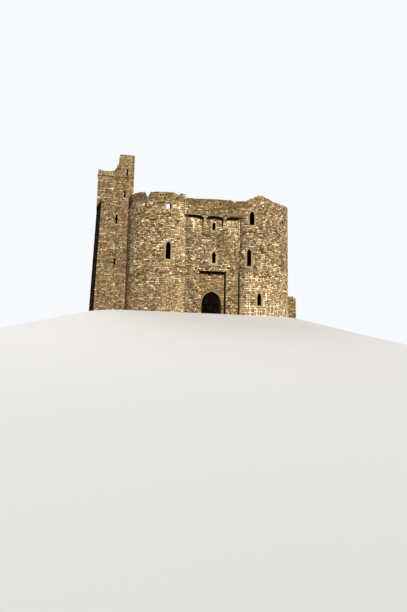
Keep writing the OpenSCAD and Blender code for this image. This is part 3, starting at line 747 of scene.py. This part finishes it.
# Depths of the painted shadow under the recess head and beside its right side.
damp_head = 0.30
damp_side = 0.12
arch_shade = 0.25
pier_shade = 0.09
lime_runs = ((-2.57, 0.20, 11.1), (-1.86, 0.20, 10.1), (1.96, 0.18, 11.2), (2.40, 0.20, 10.8),
             (2.97, 0.34, 10.0), (3.45, 0.30, 8.8))
chain_hole = (-0.34, 5.38, 0.32, 0.24)
# Painted shadow line under the sill of the lower light.
bay_lines = ((0.35, 6.55, 6.75, -1.1, 1.1),)


def facing(way, start):
    """Place on an upright face that looks front, rear, left or right, from its (x, y) at u = 0."""
    x, y = {"front": (1, 0), "rear": (-1, 0), "right": (0, 1), "left": (0, -1)}[way]
    return lambda u, v, out: (start[0] + x * u + y * out, start[1] + y * u - x * out, v)


def lay_faces(stones, faces, levels, tree, weather_and_shade, rng, **more):
    """Lays flat faces of some CAD walls. A face is (way, start, width)."""
    for way, start, width in faces:
        place = facing(way, start)
        lay_wall(stones, place, width, levels, there_on(tree, place), weather_and_shade, rng, **more)


def bay_weather_and_shade(at):
    """Grey-brown in the middle, darker at its upper left, with lime runs under the arches, painted shadow
    below the first pier and under the sill, and painted shade in the right corner.
    """
    x, z = at.x, at.z
    lime = max(near(x, run, wide * 1.6) * above(z, low - 0.3, low + 0.3) for run, wide, low in lime_runs)
    lime *= within(z, 8, 12.75)
    tone = 1.04 + 0.03 * above(x, 1.4, 3.0) - 0.20 * near(x, 0.3, 1.7) * near(z, 10.4, 1.2)
    tone *= (1 + 0.15 * lime) * (1 - 0.30 * near(z, ledge_z, 0.25))
    # A painted shadow streak below the first pier.
    tone *= 1 - 0.45 * near(x, -1.3, 0.3) * within(z, 10.6, 12.0)
    tone *= 1 - 0.25 * near(x, -3.3, 0.6) * above(z, 12.5, 11.5)
    # Painted shade in the corner by the right tower, and painted shadow lines.
    tone *= (1 - 0.35 * above(x, 3.2, 3.45) * within(z, 5.5, ledge_z)) * darkened_in_lines(bay_lines, z, x)
    rose = 0.5 * near(x, -1.7, 0.7) * near(z, 9.7, 1.1) + 0.35 * near(x, 1.7, 0.7) * near(z, 10.1, 0.8)
    return {"tone": tone, "lime": min(1.3 * lime, 1.0), "rose": rose, "lichen": 0.5 * above(x, 1.0, 3.2)}


def recess_weather(at):
    """The sheltered back of the recess is stained ochre."""
    return {"tone": 1.10, "lichen": 1.0}


arch_tree = solid_tree("machicolation")
arch_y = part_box("machicolation")[0].y + 0.1


def arch_damp(x, z):
    """True in the painted shadow under the arches and beside their piers."""
    starts = [Vector((spot, arch_y, ledge_z)) for spot in (x, x + pier_shade)]
    hits = [arch_tree.ray_cast(start, Vector((0, 0, 1)))[0] for start in starts]
    return any(hit is not None and z > hit.z - arch_shade for hit in hits)


def recess_damp(x, z):
    """True in the painted shade of the recess's head and of its right side."""
    return z > recess_top - damp_head or x > recess_half - damp_side


def corner_damp(x, z):
    """True in the painted shade of the corner beside the right front, and at the recess's right edge."""
    return x > bay_half - 0.17 and z < 5.7 or recess_half < x < recess_half + 0.06 and z < recess_top


rng = random.Random(21)
stones = Stonework()
bay_walls = ("left_passage_wall", "right_passage_wall", "bay_middle_wall")
# Each patch: half width, face, levels, weather with painted shade, the test for painted shadow, and the
# walls.
bay_patches = (
    (bay_half, bay_face, (0, upper_top), bay_weather_and_shade, corner_damp,
     (*bay_walls, "left_inner_wall", "right_inner_wall")),
    (bay_half, upper_face, (ledge_z, upper_top), bay_weather_and_shade, arch_damp, ("bay_upper_wall",)),
    (recess_half, recess_face, (sill_top, recess_top), recess_weather, recess_damp, ("gate_panel",)),
)
for half, face, levels, weather_and_shade, in_shadow, walls in bay_patches:
    lay_faces(stones, [("front", (-half, face), 2 * half)], levels, solid_tree(*walls), weather_and_shade, rng,
              gaps=[(chain_hole[0] + half, *chain_hole[1:])], long=bay_long,
              damp=lambda u, v: in_shadow(u - half, v))
stones.finish("bay_stones")

# Worn limestone with joints between its blocks and rain stains.
block_tall = 0.31


def dressed_material(name, stained_colour, clean_colour):
    """One dressed finish, from its stained and its clean colour."""
    made, tree, target = shader(name)
    up = add_node(tree, "ShaderNodeSeparateXYZ", {0: metres(tree)}).outputs["Z"]
    wavy = number(tree, "ADD", up, times(tree, noise(tree, 0.9, 1, 0.55), 0.25))
    blocks = number(tree, "DIVIDE", wavy, block_tall)
    off_centre = number(tree, "ABSOLUTE", number(tree, "SUBTRACT", number(tree, "FRACT", blocks), 0.5))
    body = share_of(tree, off_centre, 0.49, 0.44)
    worn = add_node(tree, "ShaderNodeTexWhiteNoise", noise_dimensions="1D")
    fill(tree, worn, {"W": number(tree, "FLOOR", blocks)})
    base = mix_colour(tree, patches(tree, 0.36, 0.66, 1.6), stained_colour, clean_colour)
    base = grained(tree, base, 11.0, 0.4, (0.22, 0.150, 0.075))
    base = mix_colour(tree, times(tree, worn.outputs["Value"], 0.4), base, (0.26, 0.175, 0.085))
    base = mix_colour(tree, body, (0.090, 0.060, 0.034), base)
    height = number(tree, "ADD", body, times(tree, noise(tree, 12.0), 0.5))
    dress(tree, target, base, 0.85, 0.3, height, 0.6, 0.02)
    return made


dressed_finish = dressed_material("dressed_finish", (0.44, 0.30, 0.14), (0.88, 0.67, 0.35))
worn_finish = dressed_material("worn_finish", (0.34, 0.235, 0.12), (0.64, 0.48, 0.265))
gate_finish = dressed_material("gate_finish", (0.24, 0.165, 0.085), (0.44, 0.315, 0.165))


def bay_sink(at):
    """Sinks the three front faces of the bay."""
    for face_y in (bay_face, upper_face, recess_face):
        if abs(at.y - face_y) < seam and abs(at.x) < 4:
            return at.x, at.y + mortar_depth, at.z
    return side_sink(at)


def bay_special(centre, normal):
    """Painted shade on the undersides and on the right side of the recess, and the dressed stone of the
    corbels.
    """
    if normal.x < -0.9 and centre.y < recess_face and centre.z < recess_top + 0.1:
        return damp_finish
    if centre.y < bay_face - touch and normal.z > -0.5:
        return dressed_finish
    return under(centre, normal)


mortar_core("bay_core", (*bay_walls, "bay_upper_wall", "gate_panel"), bay_sink, bay_special)

# Machicolation
# A thin wall on three flat arches, carried in front of the bay on corbels, with
# a slot behind it. Its top is broken and grown with lichen.
mach_low, mach_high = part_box("machicolation")
mach_hole = (0.84 - mach_low.x, 14.8, 0.14, 0.26)


def mach_weather_and_shade(at):
    """Brown and uneven, pale at its left end, painted shade at its right end by the tower, olive with lichen
    towards its broken top.
    """
    # Painted shade at the right end, where the wall meets the tower.
    tone = (0.85 - 0.22 * above(at.z, 14.4, 15.1)) * (1 - 0.5 * near(at.x, mach_high.x, 0.3))
    return {"tone": tone + 0.15 * within(at.z, 12.2, 12.85), "even": 0.05,
            "lichen": 0.15 + 0.85 * above(at.z, 13.7, 14.4), "lime": 0.8 * above(at.x, -3.4, -3.7)}


stones = Stonework()
mach_faces = [("front", (mach_low.x, mach_low.y), mach_high.x - mach_low.x)]
lay_faces(stones, mach_faces, (mach_low.z, mach_high.z), arch_tree, mach_weather_and_shade, random.Random(31),
          gaps=[mach_hole])
stones.finish("machicolation_stones")
# The arches' undersides take the painted-shade finish.
mortar_core("machicolation_core", ("machicolation",), box_sink(front=mach_low.y))

# Sides and rear
# The flat outer walls of both towers and of the gate hall are plain rubble, with
# the front's storeys and a rear gate. Rubble also closes the right roof's edge,
# over the wall beside the passage.
outer_walls = ("left_side_wall", "right_side_wall", "left_rear_wall", "right_rear_wall", "rear_gate_wall",
               "rear_parapet")
outer_tree = solid_tree(*outer_walls, "left_parapet", "right_parapet")
parapet_top = max(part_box("rear_parapet")[1].z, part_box("right_parapet")[1].z)
roof_low, roof_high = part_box("right_roof")
turret_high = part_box("turret_rear_wall")[1]
wall_t = 1.7
plain_courses = (0.17, 0.33)


def plain_weather(at):
    """Even rubble, a little darker high up, with lichen under the merlons."""
    return {"tone": 0.98 - 0.10 * near(at.z, 10.5, 3.0), "lichen": 0.8 * above(at.z, 14.4, 15.8),
            "rose": 0.2 * above(at.z, 5.0, 2.0)}


outer_faces = {
    "right_side_stones": ("right", (side_x, tower_y), keep_back - tower_y),
    "left_side_stones": ("left", (-side_x, keep_back), keep_back - turret_high.y),
    "rear_stones": ("rear", (side_x, keep_back), 2 * side_x),
}
for seed, (name, face) in enumerate(outer_faces.items()):
    stones = Stonework()
    lay_faces(stones, [face], (0, parapet_top), outer_tree, plain_weather, random.Random(41 + seed),
              sizes=plain_courses)
    stones.finish(name)
stones = Stonework()
edge_place = facing("left", (roof_low.x - bed_depth, keep_back - wall_t))
lay_wall(stones, edge_place, keep_back - wall_t - roof_low.y, (upper_top, roof_high.z), lambda u, v: True,
         plain_weather, random.Random(45), sizes=plain_courses)
stones.finish("roof_edge_stones")
mortar_core("outer_core", outer_walls, side_sink)

# Watch turret
# Tall and square, of smaller browner rubble. Its front left corner is splayed,
# and its left face leans out towards the foot.
turret_walls = [f"turret_{side}_wall" for side in ("front", "left", "right", "rear")] + ["turret_parapet"]
turret_tree = solid_tree(*turret_walls)
front_low, front_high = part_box("turret_front_wall")
parapet_low, parapet_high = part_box("turret_parapet")
turret_top = front_high.z
turret_left = parapet_low.x + (front_low.y - parapet_low.y)
turret_right = front_high.x
turret_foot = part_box("turret_left_wall")[0].x
splay_top = 15.80
splay_w = 0.64
splay_d = 1.75
splay_long = math.hypot(splay_w, splay_d)
lean = (turret_left - turret_foot) / splay_top
turret_courses = (0.12, 0.24)
string_courses = (0.14, 0.16)
string_tall = 0.15
string_long = 1.6
pale_strip = (-11.25, -10.85)


def turret_edge(z):
    """Where the leaning left face stands at a height."""
    return turret_left - lean * max(0.0, splay_top - z)


def turret_weather_and_shade(at):
    """Brown rubble, ochre along the edges and near the top, with pale corner stones and painted shadow under
    the string course.
    """
    z, over = at.z, at.z - turret_top
    edge = turret_edge(z) + (splay_w if z < splay_top else 0)
    corner_stone = max(above(z, 15.6, 16.2), near(z, 13.7, 0.6), near(z, 11.0, 0.3))
    corner_stone *= near(at.x, edge + 0.3, 0.45)
    band = within(at.x, *pale_strip) * above(z, 15.9, 16.3)
    # The band just under the string course is painted in shadow.
    tone = 0.98 - 0.10 * near(z, 7.5, 2.5) - 0.5 * within(over, -0.2, 0) + 0.12 * above(over, 0, 0.1)
    return {"tone": tone, "even": 0.12, "rose": 0.25 * band,
            "lime": max(0.55 * corner_stone, 0.45 * band, 0.6 * near(at.x, -12.5, 0.6) * near(z, 13.2, 0.9),
                        0.3 * above(over, 0.1, 0.2)),
            "lichen": max(0.22, 0.8 * near(at.x, turret_right, 0.3) * above(z, 14.5, 15.5),
                          0.7 * above(over, -0.4, 0.3))}


def left_face(u, v, out):
    """Place on the leaning left face, with u running towards the front."""
    return turret_edge(v) - out, turret_high.y - u, v


def splay_face(u, v, out):
    """Place on the splayed corner, with u running towards the front."""
    along_x, along_y = splay_w / splay_long, -splay_d / splay_long
    x = turret_edge(v) + along_x * u + along_y * out
    return x, front_low.y + splay_d + along_y * u - along_x * out, v


def ring(left, right, front, rear, thick=0.0, front_left=None):
    """The four faces round a box. Those after the front one stop short of each other by a thickness."""
    first = left if front_left is None else front_left
    return (("front", (first, front), right - first), ("left", (left, rear), rear - front - thick),
            ("rear", (right, rear), right - left - thick),
            ("right", (right, front + thick), rear - front - 2 * thick))


def turret_sink(at):
    """Sinks the outer faces of the turret, its splay and its string course."""
    edge = turret_edge(at.z)
    off_splay = (at.x - edge) / splay_w + (at.y - front_low.y) / splay_d - 1
    splay = at.z < splay_top and abs(off_splay) < touch
    left = math.inf if splay else max(edge, parapet_low.x)
    return box_sink(left, turret_right, front_low.y, turret_high.y)(at)


rng = random.Random(51)
stones = Stonework()
turret_w, turret_d = turret_right - turret_foot, turret_high.y - front_low.y
all_levels, upper_levels = (0, parapet_high.z), (wall_top, parapet_high.z)
turret_patches = (
    (facing("front", (turret_foot, front_low.y)), turret_w, all_levels, turret_courses),
    (left_face, turret_d, all_levels, plain_courses),
    (facing("right", (turret_right, front_low.y)), turret_d, upper_levels, plain_courses),
    (facing("rear", (-side_x, turret_high.y)), -side_x - turret_foot, (0, wall_top), plain_courses),
    (facing("rear", (turret_right, turret_high.y)), turret_w, upper_levels, plain_courses),
)
for place, width, levels, sizes in turret_patches:
    lay_wall(stones, place, width, levels, there_on(turret_tree, place), turret_weather_and_shade, rng, sizes=sizes)
# The splay's stones are all painted black, as painted shade.
lay_wall(stones, splay_face, splay_long, (0, splay_top), there_on(turret_tree, splay_face), turret_weather_and_shade,
         rng, sizes=turret_courses, damp=lambda u, v: True)
lay_faces(stones, ring(parapet_low.x, parapet_high.x, parapet_low.y, parapet_high.y),
          (turret_top, turret_top + string_tall), turret_tree, turret_weather_and_shade, rng,
          sizes=string_courses, long=string_long)
stones.finish("turret_stones")
mortar_core("turret_core", turret_walls, turret_sink)

# Stair head
# The top of the turret's stair, roofless and broken, with the stump of a wing
# wall falling in steps at its left.
head_walls = ("stair_head_front", "stair_head_rear")
head_low, head_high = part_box("stair_head_rear")
wing_low, wing_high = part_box("stair_head_front")


def head_weather(at):
    """Brown rubble, paler in a strip and beside its slit, with lichen on top."""
    slit_side = within(at.z, 19.5, 20.7) * near(at.x, -11.55, 0.6)
    lichen = 0.25 + 0.55 * above(at.z, 21.6, 22.3) + 0.5 * max(near(at.x, turret_right, 0.3), slit_side)
    return {"tone": 0.86, "even": 0.25, "lichen": lichen,
            "lime": max(0.4 * within(at.x, *pale_strip), 0.9 * slit_side)}


def head_sink(at):
    """Sinks the outer faces of the stair head, but not the end of its wing wall."""
    own_face = at.x > head_low.x - seam and at.y > wing_low.y + 0.3
    left = head_low.x if own_face else -math.inf
    return box_sink(left, head_high.x, wing_low.y, head_high.y)(at)


stones = Stonework()
head_faces = (
    ("front", (wing_low.x, wing_low.y), wing_high.x - wing_low.x),
    ("left", (head_low.x, head_high.y), head_high.y - head_low.y),
    ("rear", (head_high.x, head_high.y), head_high.x - head_low.x),
    ("right", (head_high.x, wing_low.y), head_high.y - wing_low.y),
)
lay_faces(stones, head_faces, (turret_top, wing_high.z), solid_tree(*head_walls), head_weather,
          random.Random(61), sizes=turret_courses)
stones.finish("stair_head_stones")
mortar_core("stair_head_core", head_walls, head_sink)

# Curtain wall
# The stub of the wall that once ran on from the right tower, broken off short
# and built into the tower's round side.
curtain_low, curtain_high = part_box("curtain_wall")
tower_side = tower_x + tower_r
curtain_long = curtain_high.x - tower_side
curtain_start = 0.2


def curtain_weather(at):
    """Ochre and olive-brown, paler along its top."""
    return {"tone": 0.93, "lichen": 0.5 + 0.3 * above(at.z, 3.0, 3.4)}


stones = Stonework()
curtain_faces = (
    ("front", (tower_side - curtain_start, curtain_low.y), curtain_long + curtain_start),
    ("right", (curtain_high.x, curtain_low.y), curtain_high.y - curtain_low.y),
    ("rear", (curtain_high.x, curtain_high.y), curtain_long),
)
lay_faces(stones, curtain_faces, (0, curtain_high.z), solid_tree("curtain_wall"), curtain_weather,
          random.Random(71))
stones.finish("curtain_stones")
curtain_sink = box_sink(right=curtain_high.x, front=curtain_low.y, rear=curtain_high.y)
mortar_core("curtain_core", ("curtain_wall",), curtain_sink)

# Wall tops
# Loose rubble, moss and lichen cap every broken wall. Each stone is bedded on
# the wall below it, wherever the wall ends.
cap_tree = solid_tree(*[n for n in nodes if not n.endswith("_frame")])
cap_thick = (0.05, 0.11)
cap_courses = (0.2, 0.34)
cap_long = 0.8
cap_bed = 0.03
cap_step = 0.3
cap_reach = 0.5
parapet_t = 0.6
turret_parapet_t = 0.5
head_t = 0.45
curtain_t = 1.2
highest_parapet = 17


def top_at(x, y, low, high):
    """Height of the wall's top under a point, or None outside low..high."""
    start = high + cap_reach
    hit, normal, _, _ = cap_tree.ray_cast(Vector((x, y, start)), Vector((0, 0, -1)), start - low)
    return hit.z if hit is not None and normal.z > 0.2 else None


def lay_caps(stones, place, length, thick, low, high, rng, most=math.inf):
    """Beds flat stones along a wall's top, behind a face of the wall and across its thickness."""
    def spot(u, s):
        return place(u, 0, -s)[:2]
    there = lambda u, s: top_at(*spot(u, s), low, high) is not None
    for outline in lay_courses(length, 0.0, thick, rng, there, cap_courses, cap_long):
        spots = [spot(u, s) for u, s in outline]
        tops = [t for t in (top_at(x, y, low, high) for x, y in spots) if t is not None]
        if len(tops) < 4 or max(tops) - min(tops) > cap_step:
            continue
        foot = min(tops)
        rise = min(max(tops) - foot + rng.uniform(*cap_thick), most - foot)
        stones.bed([(x, y, foot - cap_bed) for x, y in spots], rise + cap_bed, tint=rng.random(),
                   tone=0.8 * rng.uniform(0.8, 1.1), lichen=0.8)


rng = random.Random(81)
stones = Stonework()
for side, start, sweep, *_ in drums.values():
    length = math.radians(sweep) * tower_r
    lay_caps(stones, on_drum(side, start), length, parapet_t, wall_top, highest_parapet, rng)
keep_faces = (outer_faces["right_side_stones"], outer_faces["left_side_stones"],
              ("rear", (side_x - parapet_t, keep_back), 2 * (side_x - parapet_t)))
turret_ring = ring(turret_left, turret_right, front_low.y, turret_high.y, turret_parapet_t)
head_ring = ring(head_low.x, head_high.x, wing_low.y, head_high.y, head_t, wing_low.x)
# Faces, the wall's thickness, the lowest and the highest top that is capped, and a limit for the caps.
cap_rows = (
    (keep_faces, parapet_t, wall_top + 0.2, highest_parapet),
    (mach_faces, mach_high.y - mach_low.y, 14.5, highest_parapet),
    (turret_ring, turret_parapet_t, turret_top + 0.3, turret_top + 1.0),
    (head_ring, head_t, turret_top + 0.75, 23, solid_high.z - 0.012),
    ([("front", (tower_side - 0.1, curtain_low.y), 1.1)], curtain_t, 2.5, 4.0),
)
for faces, thick, low, high, *limit in cap_rows:
    for way, start, length in faces:
        lay_caps(stones, facing(way, start), length, thick, low, high, rng, *limit)
stones.finish("wall_top_stones", slot="lichened_stone")

# Dressed stone
# Pale limestone surrounds of the lights, the ring of the gate arch and the sill
# of the recess, cut in blocks with fine joints and worn by weather.


def refinish(material, *names):
    """Gives CAD nodes another material."""
    for name in names:
        nodes[name].data.materials.clear()
        nodes[name].data.materials.append(material)


refinish(gate_finish, "gate_arch", "gate_sill")
refinish(worn_finish, *[n for n in nodes if n.endswith("_frame") and not n.startswith("bay")])
refinish(dressed_finish, "bay_lower_frame", "bay_upper_frame", "right_lower_frame")

# Floors and roofs
# Stone flags lie on the floors and on the roof platforms, with patches of moss. The vault over the passage
# is of rubble.
moss_colour = (0.105, 0.105, 0.030)
flag_look = {"Scale": 1.0, "Brick Width": 0.8, "Row Height": 0.5, "Mortar Size": 0.018,
             "Color1": (0.30, 0.25, 0.175, 1), "Color2": (0.20, 0.17, 0.125, 1),
             "Mortar": (0.07, 0.06, 0.04, 1)}
flag_finish, tree, target = shader("flag_finish")
flags = add_node(tree, "ShaderNodeTexBrick", {"Vector": metres(tree), **flag_look}).outputs
base = grained(tree, flags["Color"], 10.0, 0.4, (0.12, 0.10, 0.07))
base = mix_colour(tree, patches(tree, 0.48, 0.60, 1.1, 5, 0.65), base, moss_colour)
height = number(tree, "SUBTRACT", times(tree, noise(tree, 12.0), 0.5), flags["Fac"])
dress(tree, target, base, 0.95, 0.5, height, 0.6, 0.03)
refinish(flag_finish, *[n for n in nodes if n.endswith(("_floor", "_roof"))])
refinish(inner_finish, "passage_vault")
